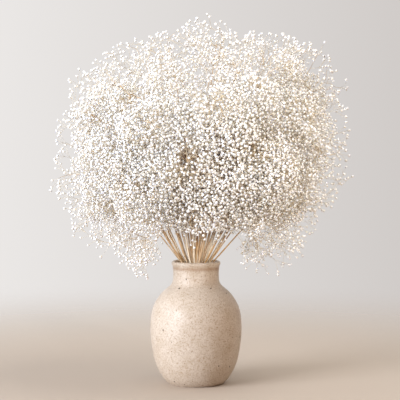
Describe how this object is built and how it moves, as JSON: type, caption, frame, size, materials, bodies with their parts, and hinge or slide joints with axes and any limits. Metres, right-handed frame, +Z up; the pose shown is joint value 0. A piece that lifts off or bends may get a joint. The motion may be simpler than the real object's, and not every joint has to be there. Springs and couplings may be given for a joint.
{
  "type": "dried gypsophila in a stoneware vase",
  "caption": "Round, airy bunch of dried gypsophila whose forking stems arch out of the mouth of an ovoid, short-necked stoneware vase with a rolled lip.",
  "frame": {"origin": "middle of the vase's flat foot, on the surface that it stands on", "axes": "+Z up along the vase's turning axis; -Y towards the viewer of the picture, where the bare stalks show lowest; +X to that viewer's right"},
  "size_m": [0.4789, 0.4125, 0.5928],
  "materials": {
    "stoneware": "satin, speckled",
    "dried_gypsophila": "matt, dry"
  },
  "bodies": {
    "root": {"vase": "stoneware", "gypsophila_stem_01": "dried_gypsophila", "gypsophila_stem_02": "dried_gypsophila", "gypsophila_stem_03": "dried_gypsophila", "gypsophila_stem_04": "dried_gypsophila", "gypsophila_stem_05": "dried_gypsophila", "gypsophila_stem_06": "dried_gypsophila", "gypsophila_stem_07": "dried_gypsophila", "gypsophila_stem_08": "dried_gypsophila", "gypsophila_stem_09": "dried_gypsophila", "gypsophila_stem_10": "dried_gypsophila", "gypsophila_stem_11": "dried_gypsophila", "gypsophila_stem_12": "dried_gypsophila", "gypsophila_stem_13": "dried_gypsophila", "gypsophila_stem_14": "dried_gypsophila", "gypsophila_stem_15": "dried_gypsophila", "gypsophila_stem_16": "dried_gypsophila", "gypsophila_stem_17": "dried_gypsophila", "gypsophila_stem_18": "dried_gypsophila", "gypsophila_stem_19": "dried_gypsophila", "gypsophila_stem_20": "dried_gypsophila", "gypsophila_stem_21": "dried_gypsophila", "gypsophila_stem_22": "dried_gypsophila", "gypsophila_stem_23": "dried_gypsophila", "gypsophila_stem_24": "dried_gypsophila", "gypsophila_stem_25": "dried_gypsophila", "gypsophila_stem_26": "dried_gypsophila", "gypsophila_stem_27": "dried_gypsophila", "gypsophila_stem_28": "dried_gypsophila", "gypsophila_stem_29": "dried_gypsophila", "gypsophila_stem_30": "dried_gypsophila", "gypsophila_stem_31": "dried_gypsophila", "gypsophila_stem_32": "dried_gypsophila", "gypsophila_stem_33": "dried_gypsophila", "gypsophila_stem_34": "dried_gypsophila", "gypsophila_stem_35": "dried_gypsophila", "gypsophila_stem_36": "dried_gypsophila", "gypsophila_stem_37": "dried_gypsophila"}
  },
  "joints": []
}
